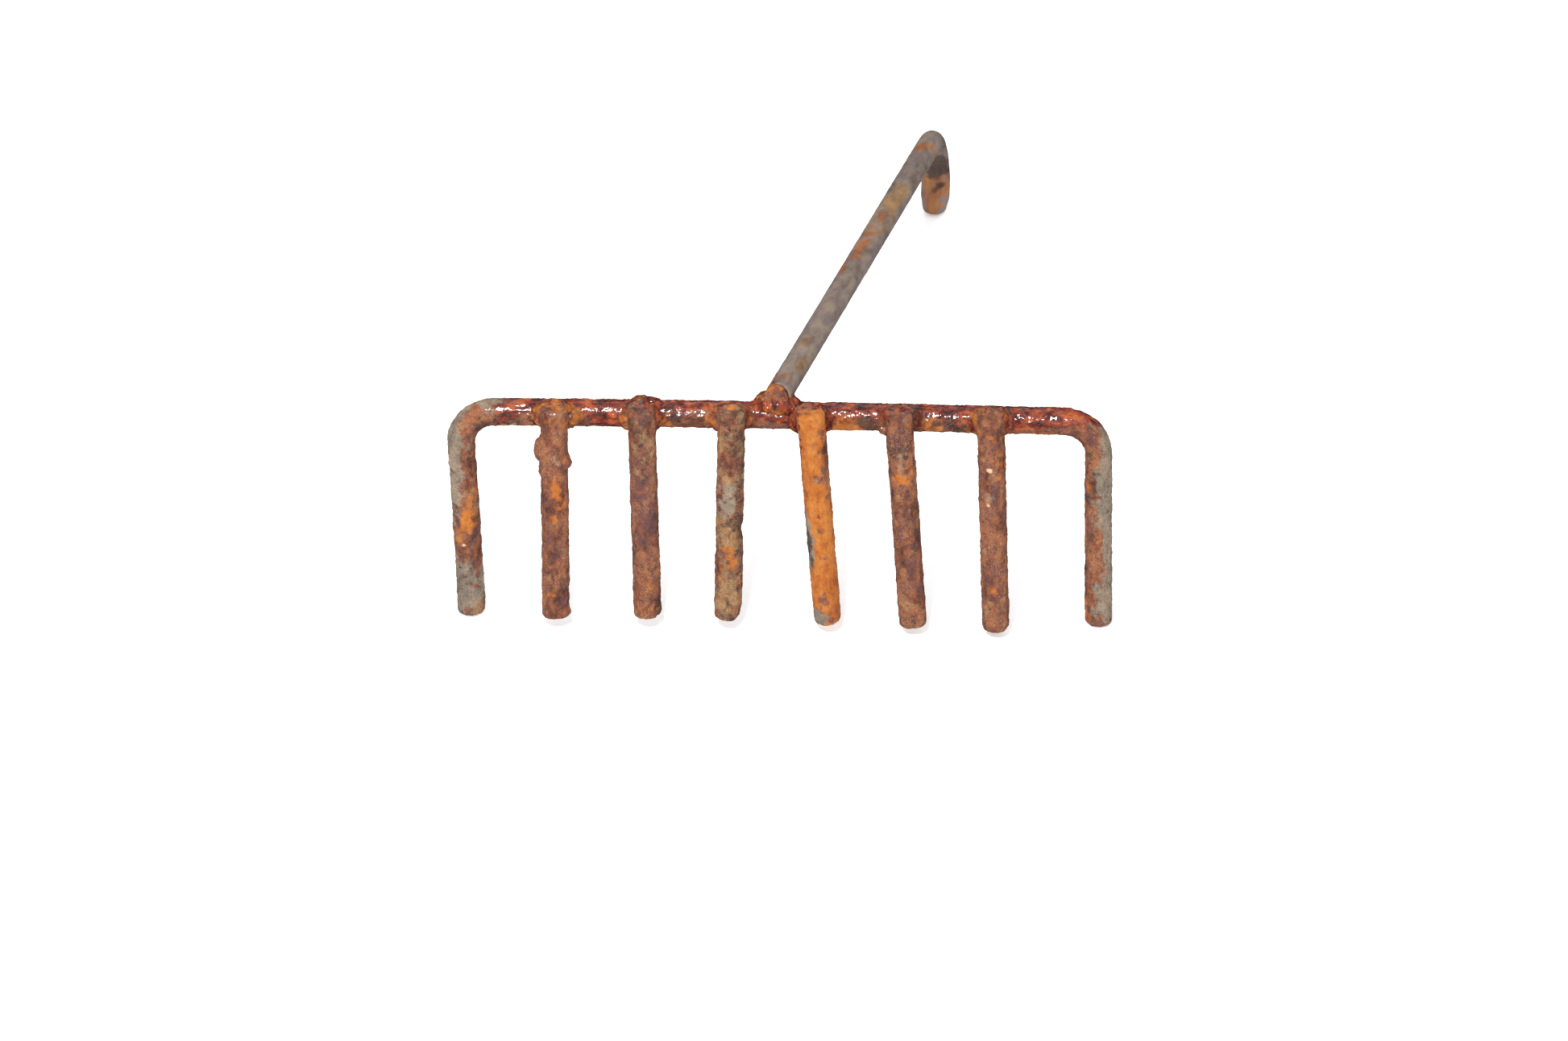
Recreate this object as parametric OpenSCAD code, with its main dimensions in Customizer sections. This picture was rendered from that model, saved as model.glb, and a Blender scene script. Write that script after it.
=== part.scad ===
// Small welded iron hay rake: a round bar bent down at both ends makes the
// crossbar and the two outer tines, six shorter bars are welded across its front
// as the inner tines, and a thinner bar lies on top as the handle, its far end
// bent down to make a foot that can also be used as a hook.
// The rake stands on its two outer tips and on the handle's foot.
// X runs along the crossbar, Y runs back along the handle, Z is up and the floor is at 0.

/* [Frame bar] */
// Diameter of the frame bar and of the inner tines
bar_d = 12.7; // [10:0.1:14]
// Distance between the two outer tines where their axes meet the crossbar's axis
span = 296; // [280:1:320]
// Length of an outer tine from the crossbar's axis to its tip
outer_reach = 105; // [95:1:115]
// How far the tips lean forwards, in degrees from the vertical
head_lean = 7; // [0:0.5:12]
// How far the left outer tine leans in towards the others, in degrees
left_lean = 2; // [0:0.1:3]
// How far the right outer tine leans away from the others, in degrees
right_lean = 1.4; // [0:0.1:3]
// Radius of the left corner on the bar's axis
left_bend_r = 12; // [9:0.5:16]
// Radius of the right corner on the bar's axis
right_bend_r = 14; // [9:0.5:16]

/* [Inner tines] */
// Where each inner tine crosses the crossbar, from the crossbar's middle
tine_x = [-103, -63, -21.5, 15.5, 56, 98.5]; // [-110:0.5:110]
// How far each inner tine leans, tip to the right, in degrees
tine_lean = [-0.2, 1.2, -0.9, 4.5, 4.2, 2.3]; // [-5:0.1:5]
// Length of each inner tine from the crossbar's axis to its tip
tine_reach = [100, 99, 99.5, 101, 102, 103]; // [90:0.5:104]
// How far each inner tine stands up past the crossbar's axis
tine_head = [9, 9, 9, 9.5, 9, 9]; // [7:0.5:12]

/* [Handle bar] */
// Diameter of the handle bar
handle_d = 12; // [10:0.1:13]
// Length of the handle's axis from above the crossbar to the corner of its bend
handle_len = 363; // [300:1:420]
// Handle's end in front of the crossbar's axis
handle_front = 6; // [2:0.5:8]
// How far the handle swings to the right, in degrees
handle_yaw = 11.2; // [-15:0.1:15]
// How far the handle slopes down towards its far end, in degrees
handle_slope = 11.6; // [8:0.1:12]
// Angle that the handle's far end is bent down through
foot_bend = 81.5; // [75:0.5:95]
// Radius of that bend on the bar's axis
foot_bend_r = 18; // [14:1:24]

/* [Welds] */
// Radius of the bead on each side of an inner tine
bead_r = 4.2; // [3:0.1:5]
// Length of such a bead's middle
bead_len = 8; // [4:0.5:10]
// Radii of the beads to the left and the right of the handle
handle_bead_r = [4.6, 4.2]; // [3.8:0.1:4.8]
// Radius of the bead under the handle's front end
lip_bead_r = 2.8; // [2:0.1:3]
// Radius of the lumps of the repair on the first inner tine
repair_r = 7; // [6.6:0.1:8]
// Height of the repair's middle below the crossbar's axis
repair_drop = 23; // [18:1:40]

/* [Hidden] */
$fn = 64;

bar_r = bar_d / 2;
handle_r = handle_d / 2;
tine_count = len(tine_x);
left = -1;
right = 1;

// Depth of an outer tip's lowest edge below the crossbar's axis.
function tip_drop(lean) =
    let (upright = cos(lean) * cos(head_lean))
    outer_reach * upright + bar_r * sqrt(1 - upright * upright);

// Straight length that a bend of radius r through a given angle takes from each arm.
function bend_setback(r, angle) = r * tan(angle / 2);

// The crossbar stands as high as the lower of the two outer tips puts it.
bar_z = max(tip_drop(left_lean), tip_drop(right_lean));
// The handle rests on the crossbar, so its axis passes this far above the crossbar's.
handle_rise = (bar_r + handle_r) * sqrt(1 + pow(tan(handle_slope) / cos(handle_yaw), 2));
// The foot is cut off where its lower edge meets the floor.
foot_tilt = handle_slope + foot_bend - 90;
corner_z = bar_z + handle_rise - handle_len * sin(handle_slope);
foot_len = (corner_z - handle_r * sin(foot_tilt)) / cos(foot_tilt);
// The crossbar lies far enough forward for the rake's middle to be at Y = 0.
reach_front = bar_d + max(tine_reach) * sin(head_lean) + bar_r;
reach_back = handle_len * cos(handle_slope) * cos(handle_yaw) + handle_r;
bar_y = (reach_front - reach_back) / 2;

left_angle = 90 + left_lean;
right_angle = 90 - right_lean;
left_setback = bend_setback(left_bend_r, left_angle);
right_setback = bend_setback(right_bend_r, right_angle);
foot_setback = bend_setback(foot_bend_r, foot_bend);

// A bend is a hair thicker than the bar, and a little of each straight arm lies inside it.
bend_swell = 0.02;
bend_grip = 0.5;

// Where the beads beside a tine lie: out from its axis, in front of the crossbar's axis
// and below it.
bead_side = bar_r + 0.6;
bead_front = 7.2;
bead_drop = 2.5;
// The bead on top of the crossbar behind the second inner tine.
top_bead_r = 4.6;
top_bead_side = 2;
top_bead_front = 2.6;
top_bead_rise = 7.2;
// The lumps of the repair step down and across the first inner tine.
repair_shift = 2;
repair_pitch = 7;
// The beads beside and under the handle where it lies on the crossbar.
handle_bead_side = handle_r + 1.4;
handle_bead_back = 3;
handle_bead_len = 4;
handle_bead_drop = 4.6;
lip_len = 4;
lip_front = handle_front - 0.5;
lip_drop = handle_r - 0.7;

// Places children in the head's frame: its origin is the middle of the crossbar's axis,
// its X runs along the crossbar and its Z points up the tines.
module in_head() {
    translate([0, bar_y, bar_z])
        rotate([-head_lean, 0, 0])
            children();
}

// Places children on an inner tine: its Z points up the tine from the crossbar's height.
module on_tine(i) {
    translate([tine_x[i], -bar_d, 0])
        rotate([0, -tine_lean[i], 0])
            children();
}

// Places children on the handle: its Y runs along the handle from above the crossbar.
module on_handle() {
    translate([0, bar_y, bar_z + handle_rise])
        rotate([0, 0, -handle_yaw])
            rotate([-handle_slope, 0, 0])
                children();
}

// Round bar down the Z axis from one height to another.
module rod(r, top, bottom) {
    translate([0, 0, bottom])
        cylinder(r = r, h = top - bottom);
}

// Part of a ring about the Y axis, starting at an angle up from X.
module bend(bar, r, start, angle) {
    rotate([90, 0, 0])
        rotate([0, 0, start])
            rotate_extrude(angle = angle)
                translate([r, 0])
                    circle(r = bar + bend_swell);
}

// Bead of weld along the Z axis, with round ends.
module bead(r, length) {
    cylinder(r = r, h = length, center = true);
    for (end = [-1, 1])
        translate([0, 0, end * length / 2])
            sphere(r = r);
}

// The crossbar's straight middle, with its ends inside the two bends.
module crossbar() {
    translate([-span / 2 + left_setback - bend_grip, 0, 0])
        rotate([0, 90, 0])
            cylinder(r = bar_r, h = span - left_setback - right_setback + 2 * bend_grip);
}

module tine_rod(i) {
    on_tine(i)
        rod(bar_r, tine_head[i], -tine_reach[i]);
}

module handle_rod() {
    translate([0, -handle_front, 0])
        rotate([-90, 0, 0])
            cylinder(r = handle_r, h = handle_front + handle_len - foot_setback + bend_grip);
}

module frame_bar() {
    color("saddlebrown")
        in_head() {
            crossbar();
            translate([-span / 2 + left_setback, 0, -left_bend_r])
                bend(bar_r, left_bend_r, 90, left_angle);
            translate([-span / 2, 0, 0])
                rotate([0, -left_lean, 0])
                    rod(bar_r, bend_grip - left_setback, -outer_reach);
            translate([span / 2 - right_setback, 0, -right_bend_r])
                bend(bar_r, right_bend_r, 90 - right_angle, right_angle);
            translate([span / 2, 0, 0])
                rotate([0, -right_lean, 0])
                    rod(bar_r, bend_grip - right_setback, -outer_reach);
        }
}

module inner_tine(i) {
    color("peru")
        in_head()
            tine_rod(i);
}

module handle_bar() {
    color("rosybrown")
        on_handle() {
            handle_rod();
            translate([0, handle_len - foot_setback, -foot_bend_r])
                rotate([0, 0, 90])
                    bend(handle_r, foot_bend_r, 90 - foot_bend, foot_bend);
            translate([0, handle_len, 0])
                rotate([90 - foot_bend, 0, 0])
                    rod(handle_r, bend_grip - foot_setback, -foot_len);
        }
}

module tine_weld(i, side) {
    color("firebrick")
        in_head()
            difference() {
                on_tine(i)
                    translate([side * bead_side, bar_d - bead_front, -bead_drop])
                        bead(bead_r, bead_len);
                crossbar();
                tine_rod(i);
            }
}

module tine_2_top_weld() {
    color("firebrick")
        in_head()
            difference() {
                on_tine(1)
                    translate([top_bead_side, bar_d - top_bead_front, top_bead_rise])
                        sphere(r = top_bead_r);
                crossbar();
                tine_rod(1);
            }
}

module tine_1_repair_weld() {
    color("firebrick")
        in_head()
            on_tine(0)
                difference() {
                    for (step = [-1, 0, 1])
                        translate([step * repair_shift, 0, -repair_drop - step * repair_pitch])
                            sphere(r = repair_r);
                    rod(bar_r, 0, -tine_reach[0]);
                }
}

module handle_weld(side) {
    color("firebrick")
        difference() {
            on_handle()
                translate([side * handle_bead_side, handle_bead_back, -handle_bead_drop])
                    rotate([90, 0, 0])
                        bead(handle_bead_r[side == left ? 0 : 1], handle_bead_len);
            on_handle()
                handle_rod();
            in_head()
                crossbar();
        }
}

module handle_weld_front() {
    color("firebrick")
        difference() {
            on_handle()
                translate([0, -lip_front, -lip_drop])
                    rotate([0, 90, 0])
                        bead(lip_bead_r, lip_len);
            on_handle()
                handle_rod();
            in_head()
                crossbar();
        }
}

frame_bar();
handle_bar();
for (i = [0 : tine_count - 1]) {
    inner_tine(i);
    tine_weld(i, left);
    tine_weld(i, right);
}
tine_2_top_weld();
tine_1_repair_weld();
handle_weld(left);  // handle_weld_left
handle_weld(right);  // handle_weld_right
handle_weld_front();
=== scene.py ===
"""Small welded iron hay rake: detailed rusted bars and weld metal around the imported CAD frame."""

import math

import bpy
import numpy as np
from mathutils import Matrix, Vector

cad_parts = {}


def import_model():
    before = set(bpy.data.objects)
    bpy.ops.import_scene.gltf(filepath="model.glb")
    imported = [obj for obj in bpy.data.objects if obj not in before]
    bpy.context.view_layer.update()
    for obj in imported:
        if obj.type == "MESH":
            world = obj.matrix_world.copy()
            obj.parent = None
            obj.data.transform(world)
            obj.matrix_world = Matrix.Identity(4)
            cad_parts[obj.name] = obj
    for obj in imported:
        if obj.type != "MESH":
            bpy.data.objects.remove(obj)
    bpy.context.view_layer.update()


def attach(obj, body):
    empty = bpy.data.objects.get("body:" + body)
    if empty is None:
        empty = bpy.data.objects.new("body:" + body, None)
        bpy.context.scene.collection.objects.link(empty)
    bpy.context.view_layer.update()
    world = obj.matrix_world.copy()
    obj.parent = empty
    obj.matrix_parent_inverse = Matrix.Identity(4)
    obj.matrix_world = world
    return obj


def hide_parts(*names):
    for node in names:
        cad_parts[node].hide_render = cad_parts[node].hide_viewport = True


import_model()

MM = 0.001  # a millimetre in metres

# ---------------------------------------------------------------- dimensions
# Millimetres and degrees, the same as the CAD model's.
BAR_R = 6.35  # radius of the frame's and the inner tines' bar
SPAN = 296.0  # between the two outer tines' axes
OUTER_REACH = 105.0  # length of an outer tine's axis below the crossbar's
HEAD_LEAN = 7.0  # how far the tines lean forwards
LEFT_LEAN = 2.0  # how far the left outer tine leans in
RIGHT_LEAN = 1.4  # how far the right outer tine leans out
TINE_X = (-103.0, -63.0, -21.5, 15.5, 56.0, 98.5)  # each inner tine's place on the crossbar
TINE_LEAN = (-0.2, 1.2, -0.9, 4.5, 4.2, 2.3)  # each one's lean to the right
TINE_REACH = (100.0, 99.0, 99.5, 101.0, 102.0, 103.0)  # each one's length below the crossbar
TINE_HEAD = (9.0, 9.0, 9.0, 9.5, 9.0, 9.0)  # and above it
HANDLE_R = 6.0  # radius of the handle's bar
HANDLE_LEN = 363.0  # from above the crossbar to the corner of the handle's bend
HANDLE_FRONT = 6.0  # from above the crossbar to the handle's front face
HANDLE_YAW = 11.2  # how far the handle turns to the right
HANDLE_SLOPE = 11.6  # how far it slopes down
FOOT_BEND = 81.5  # the angle its end is bent down by
FOOT_BEND_R = 18.0  # radius of that bend

RING_STEP = 0.45  # spacing of the mesh rings along an inner tine
LONG_STEP = 0.5  # and along the two long bars
NET_STEP = 0.4  # spacing of the grid that weld metal is meshed on


def sin(deg):
    return math.sin(math.radians(deg))


def cos(deg):
    return math.cos(math.radians(deg))


def tan(deg):
    return math.tan(math.radians(deg))


# ---------------------------------------------------------------- frames of reference
class Place:
    """A local frame: an origin in millimetres and three axes as rows."""

    def __init__(self, origin, x, y, z):
        self.origin = np.array(origin, float)
        self.axes = np.array([x, y, z], float)

    def out(self, local):
        return self.origin + np.asarray(local, float) @ self.axes

    def into(self, world):
        return (np.asarray(world, float) - self.origin) @ self.axes.T

    def turned(self, vector):
        return np.asarray(vector, float) @ self.axes


def tip_drop(lean):
    """How far the lowest point of an outer tine's tip lies below the crossbar's axis."""
    upright = cos(lean) * cos(HEAD_LEAN)
    return OUTER_REACH * upright + BAR_R * math.sqrt(1 - upright * upright)


BAR_Z = max(tip_drop(LEFT_LEAN), tip_drop(RIGHT_LEAN))
RISE = (BAR_R + HANDLE_R) * math.sqrt(1 + (tan(HANDLE_SLOPE) / cos(HANDLE_YAW)) ** 2)
FOOT_TILT = HANDLE_SLOPE + FOOT_BEND - 90
CORNER_Z = BAR_Z + RISE - HANDLE_LEN * sin(HANDLE_SLOPE)
FOOT_LEN = (CORNER_Z - HANDLE_R * sin(FOOT_TILT)) / cos(FOOT_TILT)
REACH_FRONT = 2 * BAR_R + max(TINE_REACH) * sin(HEAD_LEAN) + BAR_R
REACH_BACK = HANDLE_LEN * cos(HANDLE_SLOPE) * cos(HANDLE_YAW) + HANDLE_R
BAR_Y = (REACH_FRONT - REACH_BACK) / 2

HEAD = Place(
    (0, BAR_Y, BAR_Z),
    (1, 0, 0),
    (0, cos(HEAD_LEAN), -sin(HEAD_LEAN)),
    (0, sin(HEAD_LEAN), cos(HEAD_LEAN)),
)


def tine_place(i):
    """X to the right, Y back and Z up the tine, from the crossbar's height."""
    b = TINE_LEAN[i]
    return Place(
        HEAD.out((TINE_X[i], -2 * BAR_R, 0)),
        HEAD.turned((cos(b), 0, sin(b))),
        HEAD.turned((0, 1, 0)),
        HEAD.turned((-sin(b), 0, cos(b))),
    )


TINES = [tine_place(i) for i in range(len(TINE_X))]
SWING = (sin(HANDLE_YAW), cos(HANDLE_YAW))
HANDLE = Place(
    (0, BAR_Y, BAR_Z + RISE),
    (cos(HANDLE_YAW), -sin(HANDLE_YAW), 0),
    (SWING[0] * cos(HANDLE_SLOPE), SWING[1] * cos(HANDLE_SLOPE), -sin(HANDLE_SLOPE)),
    (SWING[0] * sin(HANDLE_SLOPE), SWING[1] * sin(HANDLE_SLOPE), cos(HANDLE_SLOPE)),
)


# ---------------------------------------------------------------- noise
def lattice(ix, iy, iz, seed):
    """A fixed pseudo-random value from -1 to 1 for each whole-numbered point."""
    h = (
        ix.astype(np.uint32) * np.uint32(374761393)
        + iy.astype(np.uint32) * np.uint32(668265263)
        + iz.astype(np.uint32) * np.uint32(2147483647)
        + np.uint32((seed * 974711) & 0xFFFFFFFF)
    )
    h = (h ^ (h >> np.uint32(13))) * np.uint32(1274126177)
    h = (h ^ (h >> np.uint32(16))) * np.uint32(2246822519)
    h ^= h >> np.uint32(15)
    return h.astype(np.float64) / 2147483647.5 - 1.0


def noise(p, size, seed):
    """Smooth noise from -1 to 1 whose features are about size millimetres across."""
    q = np.asarray(p, float) / size
    base = np.floor(q)
    f = q - base
    f = f * f * f * (f * (f * 6 - 15) + 10)
    i = base.astype(np.int64)
    total = 0.0
    for dx in (0, 1):
        wx = f[..., 0] if dx else 1 - f[..., 0]
        for dy in (0, 1):
            wy = f[..., 1] if dy else 1 - f[..., 1]
            for dz in (0, 1):
                wz = f[..., 2] if dz else 1 - f[..., 2]
                corner = lattice(i[..., 0] + dx, i[..., 1] + dy, i[..., 2] + dz, seed)
                total = total + wx * wy * wz * corner
    return total * 1.5


def fractal(p, size, seed):
    """Noise with half as much noise of half the size on top."""
    return noise(p, size, seed) + 0.5 * noise(p, size / 2, seed + 17)


def ramp(x, low, high):
    """Rises smoothly from 0 at low to 1 at high."""
    t = np.clip((x - low) / (high - low), 0, 1)
    return t * t * (3 - 2 * t)


# ---------------------------------------------------------------- rust relief
RELIEF_SEED = 3  # one relief for all pieces, so that weld metal runs into the bars


def relief(p, rough, grit):
    """How far rust lifts or eats the surface, in millimetres.
    Each line is a height times noise of one size, and the ramps leave only its peaks."""
    swell = 0.10 * fractal(p, 9.0, RELIEF_SEED)
    scale = 0.10 * fractal(p, 2.8, RELIEF_SEED + 1)
    flakes = 0.14 * ramp(noise(p, 4.2, RELIEF_SEED + 2), 0.25, 0.5)
    pits = -0.24 * ramp(noise(p, 1.9, RELIEF_SEED + 3), 0.45, 0.95)
    grains = 0.30 * ramp(noise(p, 1.25, RELIEF_SEED + 4), 0.45, 1.0)
    return rough * (swell + scale + flakes + pits) + grit * grains


def bites(local, marks):
    """Dents and lumps, each (x, y, z, reach, height): a negative height is a dent."""
    total = np.zeros(len(local))
    for x, y, z, reach, height in marks:
        d = (local - (x, y, z)) / reach
        total += height * np.exp(-(d * d).sum(1))
    return total


# ---------------------------------------------------------------- stains
# A stain is (kind, centre x, y, z, half-size x, y, z, strength) in its piece's own frame.
# A negative strength takes its kind away there.
KINDS = ("steel", "ochre", "umber_and_shade", "wet", "tan", "plum", "gloss", "painted_glint")
USUAL_BASE = -0.35  # a kind that noise alone brings in only here and there
GLINT_BASE = -2.0  # painted highlights show only where a stain asks for them
STAIN_NOISE = 0.30  # how strongly noise breaks up the stains
BLOTCH, SPECK = 8.0, 2.4  # the sizes of that noise
STAIN_EDGE = (0.15, 0.65)  # where a mask starts and where it is full


def stain_masks(local, stains, base, seed, stretch=(1.0, 1.0, 1.0)):
    """One mask from 0 to 1 for each kind, from soft spots whose edges noise breaks up."""
    masks = {}
    for k, kind in enumerate(KINDS):
        usual = GLINT_BASE if kind == "painted_glint" else USUAL_BASE
        field = np.full(len(local), base.get(kind, usual))
        for name, cx, cy, cz, rx, ry, rz, strength in stains:
            if name != kind:
                continue
            d = (local - (cx, cy, cz)) / (rx, ry, rz)
            field += strength * np.exp(-(d * d).sum(1))
        broad = STAIN_NOISE * fractal(local / stretch, BLOTCH, seed + 31 + 5 * k)
        fine = STAIN_NOISE * fractal(local / stretch, SPECK, seed + 33 + 5 * k)
        masks[kind] = ramp(field + broad + fine, *STAIN_EDGE)
    return masks


# ---------------------------------------------------------------- meshes
def add_piece(node, verts_mm, faces, grain, masks, material):
    """The piece that is shown in place of a CAD node."""
    name = "rusted_" + node
    mesh = bpy.data.meshes.new(name)
    verts = np.asarray(verts_mm, np.float64) * MM
    mesh.from_pydata(verts.tolist(), [], faces)
    for kind, values in masks.items():
        layer = mesh.attributes.new(kind, "FLOAT", "POINT")
        layer.data.foreach_set("value", np.asarray(values, np.float32))
    layer = mesh.attributes.new("grain", "FLOAT_VECTOR", "POINT")
    layer.data.foreach_set("vector", np.asarray(grain, np.float32).ravel())
    mesh.polygons.foreach_set("use_smooth", np.ones(len(mesh.polygons), bool))
    mesh.materials.append(material)
    mesh.update()
    piece = bpy.data.objects.new(name, mesh)
    bpy.context.scene.collection.objects.link(piece)
    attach(piece, "root")
    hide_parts(node)
    return piece


def polyline(points, step):
    """Evenly spaced points along a path of straight stretches and arcs."""
    points = np.asarray(points, float)
    length = np.r_[0, np.cumsum(np.linalg.norm(np.diff(points, axis=0), axis=1))]
    count = max(2, int(round(length[-1] / step)))
    s = np.linspace(0, length[-1], count + 1)
    return np.stack([np.interp(s, length, points[:, k]) for k in range(3)], 1), s


def arc(centre, radius, u, v, start, stop, count=160):
    """Points on an arc, at angles from u towards v."""
    a = np.radians(np.linspace(start, stop, count))[:, None]
    u, v = np.asarray(u, float), np.asarray(v, float)
    return np.asarray(centre, float) + radius * (np.cos(a) * u + np.sin(a) * v)


# Mesh rings on a bar's flat end, in shares of its radius, and round the edge of that end, in
# degrees from the side.
CAP_RINGS = (0.04, 0.2, 0.36, 0.52, 0.68, 0.82)
BEVEL_ANGLES = (80, 60, 40, 20)


def bar_mesh(path, s, front, radius, around, first_bevel, last_bevel):
    """Rings along a path, closed by a bevelled flat cap at each end.
    Gives base points, outward normals, faces, and each vertex's place along and across it."""
    tangent = np.gradient(path, axis=0)
    tangent /= np.linalg.norm(tangent, axis=1)[:, None]
    front = np.asarray(front, float)
    n0 = front - (tangent @ front)[:, None] * tangent
    n0 /= np.linalg.norm(n0, axis=1)[:, None]
    b0 = np.cross(n0, tangent)
    turn = np.linspace(0, 2 * math.pi, around, endpoint=False)
    spokes = np.cos(turn)[None, :, None] * n0[:, None] + np.sin(turn)[None, :, None] * b0[:, None]

    rings, normals, along, girth = [], [], [], []
    circle = np.stack([np.cos(turn), np.sin(turn)], 1)

    def ring(k, r, shift, outward):
        centre = path[k] + tangent[k] * shift
        rings.append(centre + spokes[k] * r)
        mix = spokes[k] * outward[0] + tangent[k] * outward[1]
        normals.append(mix / np.linalg.norm(mix, axis=1)[:, None])
        along.append(np.full(around, s[k] + shift))
        girth.append(circle * r)

    def cap(k, sign, bevel):
        flat = [radius * f for f in CAP_RINGS]
        steps = [(r, 0.0, (0.0, sign)) for r in flat if r < radius - bevel]
        for a in BEVEL_ANGLES:
            r = radius - bevel * (1 - cos(a))
            steps.append((r, -sign * bevel * (1 - sin(a)), (cos(a), sign * sin(a))))
        return steps

    start, end = cap(0, -1, first_bevel), cap(-1, 1, last_bevel)
    for r, shift, outward in start:
        ring(0, r, shift, outward)
    inner = [k for k in range(len(path)) if first_bevel <= s[k] <= s[-1] - last_bevel]
    for k in inner:
        ring(k, radius, 0.0, (1.0, 0.0))
    for r, shift, outward in reversed(end):
        ring(-1, r, shift, outward)
    verts = np.concatenate(rings)
    count = len(rings)
    a = np.arange(count - 1)[:, None] * around + np.arange(around)[None, :]
    b = np.arange(count - 1)[:, None] * around + (np.arange(around)[None, :] + 1) % around
    faces = np.stack([a, a + around, b + around, b], -1).reshape(-1, 4).tolist()
    first, last = len(verts), len(verts) + 1
    hubs = np.array([path[0], path[-1]])
    verts = np.vstack([verts, hubs])
    for j in range(around):
        k = (j + 1) % around
        faces.append([first, j, k])
        top = (count - 1) * around
        faces.append([last, top + k, top + j])
    normal = np.vstack([np.concatenate(normals), -tangent[0], tangent[-1]])
    along = np.concatenate(along + [[s[0], s[-1]]])
    girth = np.vstack([np.concatenate(girth), np.zeros((2, 2))])
    return verts, normal, faces, along, girth


def surface_net(field, low, step):
    """A closed quad mesh round the negative part of a field sampled on a grid."""
    inside = field < 0
    shape = np.array(field.shape) - 1
    total = np.zeros((*shape, 3))
    count = np.zeros(shape)
    grid = np.stack(np.meshgrid(*(np.arange(n) for n in shape), indexing="ij"), -1)
    corners = [(x, y, z) for x in (0, 1) for y in (0, 1) for z in (0, 1)]

    def at(array, c):
        return array[c[0] : c[0] + shape[0], c[1] : c[1] + shape[1], c[2] : c[2] + shape[2]]

    for c in corners:
        for axis in range(3):
            if c[axis]:
                continue
            d = tuple(v + (k == axis) for k, v in enumerate(c))
            f0, f1 = at(field, c), at(field, d)
            cross = at(inside, c) != at(inside, d)
            t = np.where(cross, f0 / np.where(cross, f0 - f1, 1), 0)
            for k in range(3):
                part = c[k] + (t if k == axis else 0)
                total[..., k] += np.where(cross, part, 0)
            count += cross
    used = count > 0
    index = np.full(shape, -1)
    index[used] = np.arange(used.sum())
    points = grid[used] + total[used] / count[used][:, None]
    faces = []
    for axis in range(3):
        u, v = [k for k in range(3) if k != axis]
        flip = axis == 1
        lo = [slice(None)] * 3
        hi = [slice(None)] * 3
        lo[axis] = slice(0, -1)
        hi[axis] = slice(1, None)
        change = inside[tuple(lo)] != inside[tuple(hi)]
        where = np.argwhere(change)
        where = where[(where[:, u] > 0) & (where[:, v] > 0)]
        where = where[(where[:, u] < shape[u]) & (where[:, v] < shape[v])]
        cells = []
        for du, dv in ((-1, -1), (0, -1), (0, 0), (-1, 0)):
            w = where.copy()
            w[:, u] += du
            w[:, v] += dv
            cells.append(index[w[:, 0], w[:, 1], w[:, 2]])
        quad = np.stack(cells, 1)
        starts_in = inside[where[:, 0], where[:, 1], where[:, 2]]
        quad = np.where((starts_in ^ flip)[:, None], quad, quad[:, ::-1])
        faces.append(quad)
    return low + points * step, np.concatenate(faces).tolist()


# ---------------------------------------------------------------- distance fields, in mm
def rod_field(p, top, bottom):
    """Distance from a bar along its frame's Z axis, cut at its top and bottom."""
    side = np.hypot(p[..., 0], p[..., 1]) - BAR_R
    ends = np.maximum(p[..., 2] - top, bottom - p[..., 2])
    return np.maximum(side, ends)


def lump_field(p, centre, radii):
    """Roughly the distance from an ellipsoid."""
    q = (p - np.asarray(centre, float)) / np.asarray(radii, float)
    return (np.sqrt((q * q).sum(-1)) - 1) * min(radii)


def melt(a, b, reach):
    """The smooth union of two fields, which run into each other over reach millimetres."""
    h = np.clip(reach - np.abs(a - b), 0, None) / reach
    return np.minimum(a, b) - h * h * reach / 4


# ---------------------------------------------------------------- materials
def tint(r, g, b):
    """A screen colour from 0 to 255 as the linear colour that shaders use."""
    return tuple(((v / 255 + 0.055) / 1.055) ** 2.4 for v in (r, g, b)) + (1.0,)


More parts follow.
